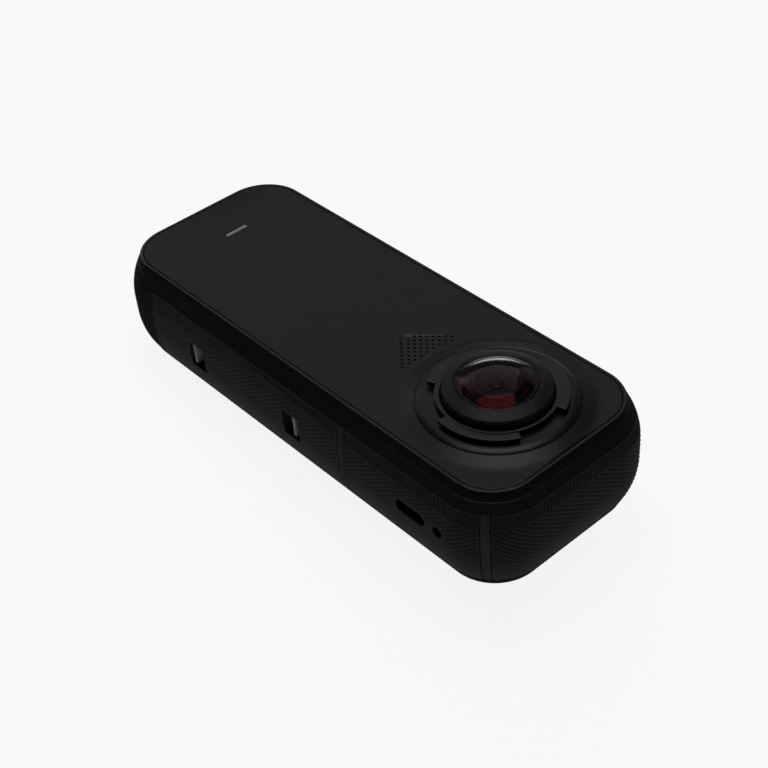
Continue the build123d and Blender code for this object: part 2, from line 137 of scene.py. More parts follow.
class CameraColours(bpy.types.PropertyGroup):
    cover: bpy.props.StringProperty(
        name="Cover", description="Colour of the satin covers, as sRGB hex", default="0E0E10")
    bezel: bpy.props.StringProperty(
        name="Bezel", description="Colour of the gloss bezels, as sRGB hex", default="060607")
    housing: bpy.props.StringProperty(
        name="Housing", description="Colour of the satin housing, as sRGB hex", default="101012")
    # The trim colour is a step paler than the housing as a painted highlight for the light caught on the posts' and
    # corner strips' rounded edges
    trim: bpy.props.StringProperty(
        name="Trim", description="Colour of the posts and corner strips, as sRGB hex", default="242427")
    rubber: bpy.props.StringProperty(
        name="Grip rubber", description="Colour of the ribbed grips, as sRGB hex", default="131314")
    latch: bpy.props.StringProperty(
        name="Latch bar", description="Colour of the latch bars, as sRGB hex", default="7A7B80")
    light_pipe: bpy.props.StringProperty(
        name="Status window", description="Colour of the status light's window, as sRGB hex", default="E2E4E8")


def sizes():
    return bpy.context.scene.camera_sizes


def colours():
    return bpy.context.scene.camera_colours


# Selecting, copying and finishing

def deselect():
    bpy.ops.object.select_all(action="DESELECT")


def pick(*pieces):
    deselect()
    for piece in pieces:
        piece.select_set(True)
    bpy.context.view_layer.objects.active = pieces[0]


def bake_place(piece):
    pick(piece)
    bpy.ops.object.transform_apply(location=True, rotation=True, scale=True)
    return piece


def apply(piece, kind, **settings):
    """Adds a modifier with its settings and applies it."""
    pick(piece)
    bpy.ops.object.modifier_add(type=kind)
    modifier = piece.modifiers[-1]
    for name, value in settings.items():
        setattr(modifier, name, value)
    bpy.ops.object.modifier_apply(modifier=modifier.name)
    return piece


def copy_of(piece):
    pick(piece)
    bpy.ops.object.duplicate(linked=False)
    return bpy.context.object


def remove(*pieces):
    for piece in pieces:
        bpy.data.objects.remove(piece)


def placed(piece, turn=0.0, x=0.0, y=0.0, z=0.0):
    """Turns a piece about the upright axis, moves it, and bakes that into its mesh."""
    piece.rotation_euler = (0, 0, math.radians(turn))
    piece.location = (x * MM, y * MM, z * MM)
    return bake_place(piece)


def joined(pieces):
    pick(*pieces)
    if len(pieces) > 1:
        bpy.ops.object.join()
    return bpy.context.object


def closed(piece):
    """Merges seams and poles, fills open ends and points the faces outwards."""
    pick(piece)
    bpy.ops.object.mode_set(mode="EDIT")
    bpy.ops.mesh.select_mode(type="VERT")
    bpy.ops.mesh.select_all(action="SELECT")
    bpy.ops.mesh.remove_doubles(threshold=MERGE)
    bpy.ops.mesh.fill_holes(sides=0)
    bpy.ops.mesh.delete_loose(use_verts=True, use_edges=True, use_faces=False)
    bpy.ops.mesh.select_all(action="SELECT")
    bpy.ops.mesh.normals_make_consistent(inside=False)
    bpy.ops.object.mode_set(mode="OBJECT")
    return piece


def smooth(piece, angle=35):
    pick(piece)
    bpy.ops.object.shade_smooth_by_angle(angle=math.radians(angle))
    return piece


def round_edges(piece, width, angle=40, segments=2):
    """Rounds the edges that turn by more than an angle."""
    return apply(piece, "BEVEL", width=width * MM, segments=segments, limit_method="ANGLE",
                 angle_limit=math.radians(angle))


def cut(piece, cutter, operation="DIFFERENCE"):
    """Cuts a piece with another, or joins them, and removes the other."""
    apply(piece, "BOOLEAN", object=cutter, operation=operation, solver="EXACT")
    remove(cutter)
    return piece


def finished(piece, name, body, slot, material, *nodes):
    """Names a piece, gives it its body and its finish, and hides the nodes it stands for. The slot argument is not
    used.
    """
    piece.name = name
    piece.data.name = name
    piece.data.materials.clear()
    piece.data.materials.append(material)
    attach(piece, body)
    if nodes:
        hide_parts(*nodes)
    return piece


# Shapes

def select_edges(piece, wanted):
    """Selects the edges whose two ends, in millimetres, pass a test."""
    pick(piece)
    bpy.ops.object.mode_set(mode="EDIT")
    bpy.ops.mesh.select_mode(type="EDGE")
    bpy.ops.mesh.select_all(action="DESELECT")
    bpy.ops.object.mode_set(mode="OBJECT")
    vertices = piece.data.vertices
    for edge in piece.data.edges:
        ends = [vertices[i].co / MM for i in edge.vertices]
        edge.select = wanted(*ends)
    bpy.ops.object.mode_set(mode="EDIT")


def block(low, high, radius=0.0, axis=2, segments=10):
    """A box between two corners, with the four edges along one axis rounded."""
    low, high = Vector(low), Vector(high)
    deselect()
    bpy.ops.mesh.primitive_cube_add(size=1, location=(low + high) / 2 * MM, scale=(high - low) * MM)
    piece = bake_place(bpy.context.object)
    if radius:
        others = [i for i in range(3) if i != axis]
        select_edges(piece, lambda a, b: all(abs(a[i] - b[i]) < 1e-4 for i in others))
        bpy.ops.mesh.bevel(offset=radius * MM, segments=segments, affect="EDGES")
        bpy.ops.object.mode_set(mode="OBJECT")
    return piece


def capsule(middle, length, tall, reach):
    """A pill-shaped bar along X: its middle, its length in Y, its height, and its range in X."""
    low = (reach[0], middle.y - length / 2, middle.z - tall / 2)
    high = (reach[1], middle.y + length / 2, middle.z + tall / 2)
    return block(low, high, 0.4995 * tall, axis=0, segments=16)


def rod(radius, x, y, low, high, sides=48):
    """An upright cylinder that other shapes are cut with."""
    deselect()
    bpy.ops.mesh.primitive_cylinder_add(vertices=sides, radius=radius * MM, depth=(high - low) * MM,
                                        location=(x * MM, y * MM, (low + high) / 2 * MM))
    return bake_place(bpy.context.object)


def section(points):
    """A closed outline in the XZ plane, drawn from one vertex through points of (x, z)."""
    deselect()
    bpy.ops.mesh.primitive_plane_add(size=MM)
    outline = bpy.context.object
    bpy.ops.object.mode_set(mode="EDIT")
    bpy.ops.mesh.select_mode(type="VERT")
    bpy.ops.mesh.select_all(action="SELECT")
    bpy.ops.mesh.merge(type="CENTER")
    bpy.ops.transform.translate(value=(points[0][0] * MM, 0, points[0][1] * MM))
    for a, b in zip(points, points[1:] + points[:1]):
        step = ((b[0] - a[0]) * MM, 0, (b[1] - a[1]) * MM)
        bpy.ops.mesh.extrude_vertices_move(TRANSFORM_OT_translate={"value": step})
    bpy.ops.mesh.select_all(action="SELECT")
    bpy.ops.mesh.remove_doubles(threshold=0.1 * MERGE)
    bpy.ops.object.mode_set(mode="OBJECT")
    return outline


def swept(outline, steps, length=0.0, turn=0.0):
    """A copy of an outline, run along its own +Y or turned about its own Z."""
    return apply(copy_of(outline), "SCREW", axis="Y" if length else "Z", angle=math.radians(turn),
                 screw_offset=length * MM, steps=steps, render_steps=steps)


def spun(points, x=0.0, y=None, steps=120, turn=360.0, start=0.0):
    """An outline of (radius, height) turned about an upright axis, as a closed shell."""
    outline = section(points)
    piece = swept(outline, steps, turn=turn)
    remove(outline)
    return placed(closed(piece), start, x, lens_y if y is None else y)


# The body's walls

def height(depth):
    return z_front - depth


def side_radius(depth):
    """Distance of the body's outer side from its core rectangle, at a depth below the front cover."""
    h = abs(half_depth - depth)
    shoulder = half_depth - bezel_depth
    if h <= belt_half_height:
        return corner_radius
    if h <= shoulder:
        return corner_radius - belly_radius + math.sqrt(belly_radius ** 2 - (h - belt_half_height) ** 2)
    lean = math.asin((shoulder - belt_half_height) / belly_radius)
    normal = (-math.cos(lean), -math.sin(lean))
    run = (rim_radius - shoulder_radius, bezel_depth)
    radius = (run[0] ** 2 + run[1] ** 2) / (2 * (run[0] * normal[0] + run[1] * normal[1]))
    centre = (shoulder_radius + normal[0] * radius, shoulder + normal[1] * radius)
    return centre[0] + math.sqrt(radius ** 2 - (h - centre[1]) ** 2)


def wall_section(top, bottom, inner, pace, edge):
    """Cross-section of a wall: the outer side follows the body, between two rounded edges."""
    rows = max(2, round((bottom - top - 2 * edge) / pace))
    points = []
    for turn in (0, 30, 60):
        a = math.radians(turn)
        points.append((side_radius(top + edge) - edge + edge * math.sin(a), height(top + edge - edge * math.cos(a))))
    for i in range(rows + 1):
        depth = top + edge + (bottom - top - 2 * edge) * i / rows
        points.append((side_radius(depth), height(depth)))
    for turn in (30, 60, 90):
        a = math.radians(turn)
        points.append((side_radius(bottom - edge) - edge + edge * math.cos(a),
                       height(bottom - edge + edge * math.sin(a))))
    for i in range(5):
        depth = bottom - (bottom - top) * i / 4
        points.append((inner(depth), height(depth)))
    return points


def straight(outline, side, low, high, pace):
    """Runs a section along a side. Sides go round from the battery side, 0, through the lens end, 1."""
    steps = max(1, round((high - low) / pace))
    reach = core_x if side % 2 == 0 else core_y
    piece = placed(swept(outline, steps, length=high - low), 0, reach, low)
    return placed(piece, 90 * side)


def rounded(outline, corner, low, high, pace):
    """Turns a section round a corner, between two angles from the side before it."""
    steps = max(1, round(math.radians(high - low) * corner_radius / pace))
    x = core_x if corner in (0, 3) else -core_x
    y = core_y if corner in (0, 1) else -core_y
    return placed(swept(outline, steps, turn=high - low), 90 * corner + low, x, y)


def wall(points, spans, angle=35):
    """A wall with one cross-section, made of spans in order: (straight or rounded, which, low, high, pace)."""
    outline = section(points)
    pieces = [make(outline, which, low, high, pace) for make, which, low, high, pace in spans]
    remove(outline)
    return smooth(closed(joined(pieces)), angle)


def all_round(pace_straight, pace_corner):
    """The spans of a whole ring."""
    spans = []
    for side in range(4):
        half = core_y if side % 2 == 0 else core_x
        spans.append((straight, side, -half, half, pace_straight))
        spans.append((rounded, side, 0, 90, pace_corner))
    return spans


# Ribs: fine grooves that lean one way low on the wall and the other way above a fold

def ease(values):
    values = np.clip(values, 0, 1)
    return values * values * (3 - 2 * values)


def wall_places(piece, end_wall):
    """Each vertex's distance along the wall, its depth, and how far out it stands, in millimetres."""
    places = np.empty(len(piece.data.vertices) * 3)
    piece.data.vertices.foreach_get("co", places)
    x, y, z = places.reshape(-1, 3).T / MM
    if end_wall:
        nearest = np.clip(x, -core_x, core_x)
        turn = np.arctan2(np.maximum(y - core_y, 1e-6), x - nearest)
        along = core_y + corner_radius * turn + core_x - nearest
    else:
        turn = np.arctan2(np.maximum(y - core_y, 0), np.maximum(abs(x) - core_x, 1e-6))
        along = np.minimum(y, core_y) + corner_radius * turn
    out = np.hypot(np.maximum(abs(x) - core_x, 0), np.maximum(abs(y) - core_y, 0))
    return along, z_front - z, out


def cut_ribs(piece, end_wall=False, strength=None, clear=(), fade=True):
    """Sinks ribs into a wall's outer side. clear lists (along, depth, radius) to leave smooth."""
    s = sizes()
    along, depth, out = wall_places(piece, end_wall)
    lean = -1 if end_wall else 1
    pitch = s.rib_pitch / MM
    fold = np.full_like(along, 7.4) if end_wall else np.minimum(7.6, 3.6 + 0.06 * (along + 42))
    lower = lean * along * math.sin(s.lower_lean) + depth * math.cos(s.lower_lean)
    upper = along * math.sin(s.upper_lean) - lean * depth * math.cos(s.upper_lean)
    phase = np.where(depth < fold, upper, lower) / pitch
    surface = np.array([side_radius(d) for d in np.clip(depth, 0, 2 * half_depth)])
    outer = out > surface - 0.03
    weight = outer * ease(abs(depth - fold) / 0.35)
    if fade:
        weight = weight * (1 - 0.6 * ease((depth - 12) / 4))
        ends = np.minimum(along - along.min(), along.max() - along)
        edges = np.minimum(depth - depth.min(), depth.max() - depth)
        weight = weight * ease((ends - 0.2) / 0.4) * ease((edges - 0.2) / 0.4)
    if strength is not None:
        weight = weight * strength(along)
    for place, level, radius in clear:
        weight = weight * ease((np.hypot((along - place) / radius[0], (depth - level) / radius[1]) - 1) * 2)
    ribs = piece.data.uv_layers.new(name="ribs")
    corners = np.empty(len(piece.data.loops), np.int32)
    piece.data.loops.foreach_get("vertex_index", corners)
    # Bands in the texture repeat every 2 pi / 20 of a unit.
    across = phase[corners] * 2 * math.pi / 20
    ribs.data.foreach_set("uv", np.stack([across, np.zeros_like(across)], 1).astype(np.float32).ravel())
    group = piece.vertex_groups.new(name="ribbed")
    for level in range(1, 21):
        chosen = np.nonzero(np.round(weight * 20) == level)[0]
        group.add([int(i) for i in chosen], level / 20, "REPLACE")
    bands = bpy.data.textures.new("rib_bands", "WOOD")
    bands.wood_type = "BANDS"
    bands.noise_basis_2 = "SIN"
    apply(piece, "DISPLACE", texture=bands, texture_coords="UV", uv_layer="ribs", strength=s.rib_depth,
          mid_level=1.0, vertex_group="ribbed")
    return smooth(piece, 60)


# Finishes

def linear(hex_text):
    """An sRGB hex colour as linear RGBA."""
    channels = [int(hex_text[i:i + 2], 16) / 255 for i in (0, 2, 4)]
    return tuple(c / 12.92 if c <= 0.04045 else ((c + 0.055) / 1.055) ** 2.4 for c in channels) + (1.0,)


def add(tree, kind, settings=None, links=None):
    """Adds a node with its settings, and links its inputs to other nodes' outputs."""
    made = tree.nodes.new(kind)
    for name, value in (settings or {}).items():
        if isinstance(name, int) or name in made.inputs:
            made.inputs[name].default_value = value
        else:
            setattr(made, name, value)
    for name, output in (links or {}).items():
        tree.links.new(output, made.inputs[name])
    return made


def material(name, hex_text, roughness, grain, grain_height, settings=None, uneven=0.12, tint=0.15):
    """A finish with one fine grain, given as its size and height, and a slow change of gloss and colour."""
    if name in bpy.data.materials:
        return bpy.data.materials[name]
    made = bpy.data.materials.new(name)
    made.use_nodes = True
    tree = made.node_tree
    tree.nodes.clear()
    place = add(tree, "ShaderNodeTexCoord").outputs["Object"]
    patches = add(tree, "ShaderNodeTexNoise", {"Scale": 1 / (9 * MM), "Detail": 3.0, "Roughness": 0.55},
                  {"Vector": place})
    grit = add(tree, "ShaderNodeTexNoise", {"Scale": 1 / (grain * MM), "Detail": 2.0}, {"Vector": place})
    base = linear(hex_text)
    dark = tuple(c * (1 - tint) for c in base[:3]) + (1.0,)
    light = tuple(min(1.0, c * (1 + tint)) for c in base[:3]) + (1.0,)
    colour = add(tree, "ShaderNodeMix", {"data_type": "RGBA", 6: dark, 7: light}, {0: patches.outputs["Fac"]})
    gloss = add(tree, "ShaderNodeMapRange", {"To Min": roughness * (1 - uneven), "To Max": roughness * (1 + uneven)},
                {"Value": patches.outputs["Fac"]})
    bump = add(tree, "ShaderNodeBump", {"Strength": 1.0, "Distance": grain_height * MM},
               {"Height": grit.outputs["Fac"]})
    shader = add(tree, "ShaderNodeBsdfPrincipled", settings,
                 {"Base Color": colour.outputs[2], "Roughness": gloss.outputs[0], "Normal": bump.outputs[0]})
    add(tree, "ShaderNodeOutputMaterial", links={"Surface": shader.outputs[0]})
    return made


def satin_polycarbonate():
    """Moulded polycarbonate with a fine spark texture: a soft, even sheen on near-black."""
    return material("satin_polycarbonate", colours().cover, 0.33, 0.35, 0.0035, {"IOR": 1.58})


def gloss_lacquer():
    """Piano-black lacquer: deep and clear, with a faint orange peel a few millimetres wide."""
    return material("gloss_lacquer", colours().bezel, 0.09, 2.5, 0.004, {"IOR": 1.5, "Coat Weight": 0.4})


def satin_paint():
    """Sprayed matt-satin paint over nylon: slightly greyer than the covers, with a soft edge sheen."""
    return material("satin_paint", colours().housing, 0.38, 0.4, 0.005, {"IOR": 1.5})


def moulded_trim():
    """Bare satin nylon of the raised posts and corner strips. Its colour is a step paler than the painted housing
    beside it, as a painted highlight for the light their rounded edges catch.
    """
    return material("moulded_trim", colours().trim, 0.3, 0.4, 0.004, {"IOR": 1.53})


def soft_touch_rubber():
    """Moulded silicone rubber: dull, with a dusty sheen on the crowns of its ribs."""
    return material("soft_touch_rubber", colours().rubber, 0.5, 0.3, 0.006,
                    {"IOR": 1.45, "Sheen Weight": 0.05, "Sheen Roughness": 0.5})


def anodised_ring():
    """Black anodised aluminium, turned on a lathe: a dark metal with a fine, silky highlight."""
    return material("anodised_ring", "505055", 0.27, 0.25, 0.003, {"Metallic": 1.0})


def moulded_ring():
    """Glass-filled nylon with a fine spark texture: an even, charcoal grip surface."""
    return material("moulded_ring", "141416", 0.48, 0.35, 0.004, {"IOR": 1.55})


def coated_glass():
    """Polished glass with a multi-layer anti-reflection coating, which turns reflections crimson."""
    name = "coated_glass"
    if name in bpy.data.materials:
        return bpy.data.materials[name]
    made = bpy.data.materials.new(name)
    made.use_nodes = True
    tree = made.node_tree
    tree.nodes.clear()
    place = add(tree, "ShaderNodeTexCoord").outputs["Object"]
    smear = add(tree, "ShaderNodeTexNoise", {"Scale": 1 / (4 * MM), "Detail": 4.0}, {"Vector": place})
    gloss = add(tree, "ShaderNodeMapRange", {"To Min": 0.0, "To Max": 0.03}, {"Value": smear.outputs["Fac"]})
    shader = add(tree, "ShaderNodeBsdfPrincipled",
                 {"Base Color": linear("E8E4EA"), "IOR": 1.52, "Transmission Weight": 1.0,
                  "Specular Tint": linear("960014")},
                 {"Roughness": gloss.outputs[0]})
    add(tree, "ShaderNodeOutputMaterial", links={"Surface": shader.outputs[0]})
    return made


def element_glass():
    """The inner lens elements, whose own coating shows blue-green."""
    return material("element_glass", "0D1917", 0.12, 3.0, 0.0001,
                    {"IOR": 1.5, "Specular IOR Level": 0.3, "Specular Tint": linear("9FE0B8")})


def blackened_barrel():
    """Matt black paint inside the lens, which shows only at a grazing angle."""
    return material("blackened_barrel", "0B090C", 0.45, 0.3, 0.004, {"IOR": 1.5})


def screen_glass():
    """Chemically strengthened cover glass over black ink: a clean, sharp reflection."""
    return material("screen_glass", "050506", 0.04, 5.0, 0.0006, {"IOR": 1.51, "Coat Weight": 0.3})


def dark_display():
    """A switched-off panel: black with a faint blue cast."""
    return material("dark_display", "07080B", 0.2, 0.3, 0.001, {"IOR": 1.5})


def seal_silicone():
    """Moulded silicone gasket: charcoal and waxy."""
    return material("seal_silicone", "2B2D30", 0.55, 0.4, 0.004, {"IOR": 1.41})


def key_plastic():
    """Moulded polycarbonate keys, finer and glossier than the housing."""
    return material("key_plastic", "0F0F11", 0.27, 0.3, 0.0025, {"IOR": 1.58})


def latch_acetal():
    """Grey acetal, moulded: pale, dense and slightly waxy."""
    return material("latch_acetal", colours().latch, 0.4, 0.3, 0.003, {"IOR": 1.48})


def slider_acetal():
    """Black acetal, for the latch's slider behind its bar."""
    return material("slider_acetal", "0A0A0B", 0.5, 0.3, 0.003, {"IOR": 1.48})


def battery_abs():
    """The cell's moulded case: dark grey ABS with a coarse spark texture."""
    return material("battery_abs", "1B1C1F", 0.5, 0.45, 0.012, {"IOR": 1.53})


def bay_nylon():
    """Glass-filled nylon, moulded: dull, with a faint fibre mottle."""
    return material("bay_nylon", "17181A", 0.6, 0.6, 0.015, {"IOR": 1.53}, tint=0.3)


def gold_plating():
    """Hard gold over nickel: warm and bright, with fine polishing haze."""
    return material("gold_plating", "D9A94E", 0.22, 0.2, 0.001, {"Metallic": 1.0})


def board_laminate():
    """Glass-epoxy board under matt black solder mask, with the weave just showing."""
    return material("board_laminate", "0C1A14", 0.45, 0.5, 0.006, {"IOR": 1.55}, tint=0.35)


def chip_epoxy():
    """Moulding compound of a chip: dark, matt and sandy."""
    return material("chip_epoxy", "1C1C1E", 0.65, 0.25, 0.006, {"IOR": 1.55})


def stainless_steel():
    """Passivated stainless steel: cool grey with a soft, drawn highlight."""
    return material("stainless_steel", "A7A9AC", 0.3, 0.25, 0.002, {"Metallic": 1.0})


def spreader_sheet():
    """Rolled aluminium sheet: pale, with a satin mill finish."""
    return material("spreader_sheet", "B8BBBF", 0.38, 0.3, 0.003, {"Metallic": 1.0})


def polyimide_ribbon():
    """Polyimide flex with copper behind it: amber brown and smooth."""
    return material("polyimide_ribbon", "6B3A12", 0.3, 0.5, 0.002, {"IOR": 1.7})


def frosted_acrylic():
    """A moulded light window, lightly frosted: pale grey with a soft gloss."""
    return material("frosted_acrylic", colours().light_pipe, 0.3, 0.3, 0.003, {"IOR": 1.49})


def seen_mesh():
    """Woven steel mesh, blackened, behind the grille: it only has to swallow light."""
    return material("seen_mesh", "060607", 0.6, 0.15, 0.03, {"Metallic": 0.4})


# Operators: covers, bezels and housing

def cover_plate():
    """The front cover before its openings: a flat plate with a hole for the lens seat."""
    low, high = node_box("front_cover")
    edge = core_y + cover_radius
    plate = block((-core_x - cover_radius, -edge, low.z), (core_x + cover_radius, edge, z_front), cover_radius,
                  segments=32)
    round_edges(plate, 0.22, segments=3)
    return cut(plate, rod(seat_radius + 0.06, 0, lens_y, z_front - 4, z_front + 4, 180))


def hill():
    """The low hill that lifts the cover to the lens seat, fading into the plate at its foot."""
    foot = 1.2
    slope = hill_rise / (hill_radius - seat_radius)
    points = [(seat_radius + 0.06, -0.9), (hill_radius + foot, -0.9)]
    for i in range(13):
        past = -foot + 2 * foot * i / 12
        points.append((hill_radius - past, slope * (past + foot) ** 2 / (4 * foot) - 0.004))
    points.append((seat_radius + 0.06, hill_rise))
    mound = spun([(r, z_front + z) for r, z in points], steps=180)
    trim = cover_radius - 0.24
    outline = block((-core_x - trim, -core_y - trim, z_front - 2), (core_x + trim, core_y + trim, z_front + 2), trim,
                    segments=32)
    return closed(cut(mound, outline, "INTERSECT"))


def twin(piece):
    """The same shape behind the body's middle plane."""
    copy = copy_of(piece)
    copy.scale = (1, 1, -1)
    copy.location = (0, 0, 2 * z_mid * MM)
    return closed(bake_place(copy))


class CAMERA_OT_covers(bpy.types.Operator):
    """Builds the front cover with its grille and status window, and the rear cover round the screen"""

    bl_idname = "camera.build_covers"
    bl_label = "Covers"

    def execute(self, context):
        plate, mound = cover_plate(), hill()
        rear, rear_mound = twin(plate), twin(mound)
        self.recess_grille(plate)
        holes = []
        origin, step_x, step_y = (-1.15, 10.9), 0.89, 1.0
        for row in range(9):
            for column in range(9):
                if 2 <= row + column <= 9:
                    holes.append(rod(sizes().grille_hole / MM / 2, origin[0] + (row - column) * step_x,
                                     origin[1] + (row + column) * step_y, z_front - 3, z_front + 1, 14))
        cut(plate, joined(holes))
        low, high = node_box("led_window")
        cut(plate, block((low.x - 0.03, low.y + 0.12, z_front - 3), (high.x + 0.03, high.y - 0.12, z_front + 1), 0.54))
        plate = smooth(joined([plate, mound]), 15)
        finished(plate, "front_cover_shell", "camera_body", "cover_satin", satin_polycarbonate(), "front_cover")
        low, high = node_box("touchscreen_glass")
        cut(rear, block((low.x - 0.08, low.y - 0.08, z_rear - 1), (high.x + 0.08, high.y + 0.08, z_rear + 3), 3.08))
        for node in ("shutter_button", "lens_button"):
            middle = node_middle(node)
            cut(rear, rod(4.75, middle.x, middle.y, z_rear - 1, z_rear + 3, 96))
        rear = smooth(joined([rear, rear_mound]), 15)
        finished(rear, "rear_cover_shell", "camera_body", "cover_satin", satin_polycarbonate(), "rear_cover")
        return {"FINISHED"}

    def recess_grille(self, plate):
        """A shallow pocket with sloped walls, whose corner points away from the lens."""
        size, deep = 12.0, 0.3
        cutter = block((0, 0, -deep), (size, size, 0.02), 1.4, segments=10)
        select_edges(cutter, lambda a, b: a.z < 0 and b.z < 0)
        bpy.ops.transform.resize(value=(1 - 1.6 / size, 1 - 1.6 / size, 1))
        bpy.ops.object.mode_set(mode="OBJECT")
        squash = Matrix.Diagonal((0.89, 1.0, 1.0, 1.0))
        turn = Matrix.Rotation(math.radians(45), 4, "Z")
        tilt = Matrix.Rotation(math.radians(1.9), 4, "X")
        place = Matrix.Translation(Vector((-1.15, 10.0, z_front)) * MM)
        cutter.matrix_world = place @ tilt @ squash @ turn
        cut(plate, bake_place(cutter))


class CAMERA_OT_bezels(bpy.types.Operator):
    """Builds the two gloss rings round the covers"""

    bl_idname = "camera.build_bezels"
    bl_label = "Bezels"

    def execute(self, context):
        step, land, ledge = cover_radius + 0.1, rim_radius + 0.3, 0.2
        points = [(step, height(1.2)), (step, height(0.12)), (step + 0.04, height(0.03)), (step + 0.12, height(0)),
                  (land, height(0)), (land + 0.14, height(0.04)), (land + 0.22, height(0.12))]
        top, bottom = (land + 0.25, 0.22), (side_radius(bezel_depth) - ledge, bezel_depth - 0.1)
        for i in range(11):
            t = i / 10
            points.append((top[0] + (bottom[0] - top[0]) * t + 0.16 * t * (1 - t),
                           height(top[1] + (bottom[1] - top[1]) * t)))
        points += [(bottom[0] - 0.03, height(bezel_depth - 0.03)), (bottom[0] - 0.1, height(bezel_depth)),
                   (8.5, height(bezel_depth)), (8.5, height(1.2))]
        ring = wall(points, all_round(3.0, 0.5), 40)
        rear = smooth(twin(ring), 40)
        finished(ring, "front_bezel_ring", "camera_body", "bezel_gloss", gloss_lacquer(), "front_bezel")
        finished(rear, "rear_bezel_ring", "camera_body", "bezel_gloss", gloss_lacquer(), "rear_bezel")
        return {"FINISHED"}


def side_key_places():
    return [node_middle(node) for node in ("power_button", "quick_button")]


def usb_place():
    return node_middle("usb_socket")


def mic_place():
    """The side microphone's hole, at the height of the socket."""
    return Vector((half_width, 48.7, usb_place().z))


class CAMERA_OT_housing(bpy.types.Operator):
    """Builds the housing: ribbed rail, base, seam posts, corner strips and the wall behind the grips"""

    bl_idname = "camera.build_housing"
    bl_label = "Housing"

    def execute(self, context):
        edge = sizes().edge_round / MM
        rail = wall_section(frame_top, grip_top - 0.05, lambda d: inner_radius, 0.3, 0.2)
        fine = 0.19
        rail = wall(rail, [
            (straight, 0, -core_y, -36, 1.5), (straight, 0, -36, core_y, fine), (rounded, 0, 0, 90, fine),
            (straight, 1, -core_x, core_x, fine), (rounded, 1, 0, 90, fine), (straight, 2, -core_y, 36, fine),
            (straight, 2, 36, core_y, 1.5), (rounded, 2, 0, 90, 0.5), (straight, 3, -core_x, core_x, 3),
            (rounded, 3, 0, 90, 0.5)])
        cut_ribs(rail, strength=lambda y: ease((y + 36) / 22) * (1 - 0.75 * ease((y - 22) / 18)), fade=False)
        core = self.core()
        full = wall_section(grip_top - 0.05, frame_bottom, lambda d: inner_radius, 0.6, edge)
        base = wall(full, [(straight, 2, base_seam + 0.15, core_y, 0.5), (rounded, 2, 0, 90, 0.5),
                           (straight, 3, -core_x, core_x, 3), (rounded, 3, 0, 90, 0.5),
                           (straight, 0, -core_y, door_low - 0.15, 0.5)])
        tunnel = rod(4.62, 0, 0, -8, 8, 64)
        tunnel.rotation_euler = (math.radians(90), 0, 0)
        tunnel.location = Vector((0, -half_length + 4, z_mid)) * MM
        cut(base, bake_place(tunnel))
        post = wall(full, [(straight, 0, post_low, post_high, 0.6)])
        strips = [wall(full, [(rounded, 0, strip_low, strip_high, 0.3)]),
                  wall(full, [(rounded, 1, 90 - strip_high, 90 - strip_low, 0.3)])]
        raised = joined([round_edges(piece, 0.3, 50, 3) for piece in (post, *strips)])
        shell = joined([rail, core, round_edges(base, 0.12, 50)])
        shell.vertex_groups.clear()
        finished(smooth(shell, 55), "housing_shell", "camera_body", "frame_satin", satin_paint(), "housing_frame")
        # The posts and corner strips take the paler trim colour, a painted highlight for the light their rounded edges
        # catch
        finished(smooth(raised, 55), "housing_posts", "camera_body", "frame_satin", moulded_trim(), "housing_frame")
        return {"FINISHED"}

    def core(self):
        """The wall behind the grips, with its ports; the battery's side of it is open."""
        top, bottom = grip_top, frame_bottom
        points = [(inner_radius, height(top))]
        for i in range(9):
            depth = top + (bottom - top) * i / 8
            points.append((side_radius(depth) - grip_thick - 0.05, height(depth)))
        points.append((inner_radius, height(bottom)))
        core = wall(points, [
            (straight, 0, post_low + 0.2, core_y, 5), (rounded, 0, 0, 90, 0.6), (straight, 1, -core_x, core_x, 5),
            (rounded, 1, 0, 90, 0.6), (straight, 2, -core_y, core_y, 5), (rounded, 2, 0, 90, 0.6)])
        cut(core, capsule(usb_place(), 8.6, 3.2, (15, 28)))
        for middle in side_key_places():
            cut(core, capsule(middle, 9.3, 4.1, (-28, -15)))
        hole = rod(1.3, 0, 0, -4, 4, 32)
        hole.rotation_euler = (0, math.radians(90), 0)
        hole.location = mic_place() * MM
        return smooth(cut(core, bake_place(hole)))


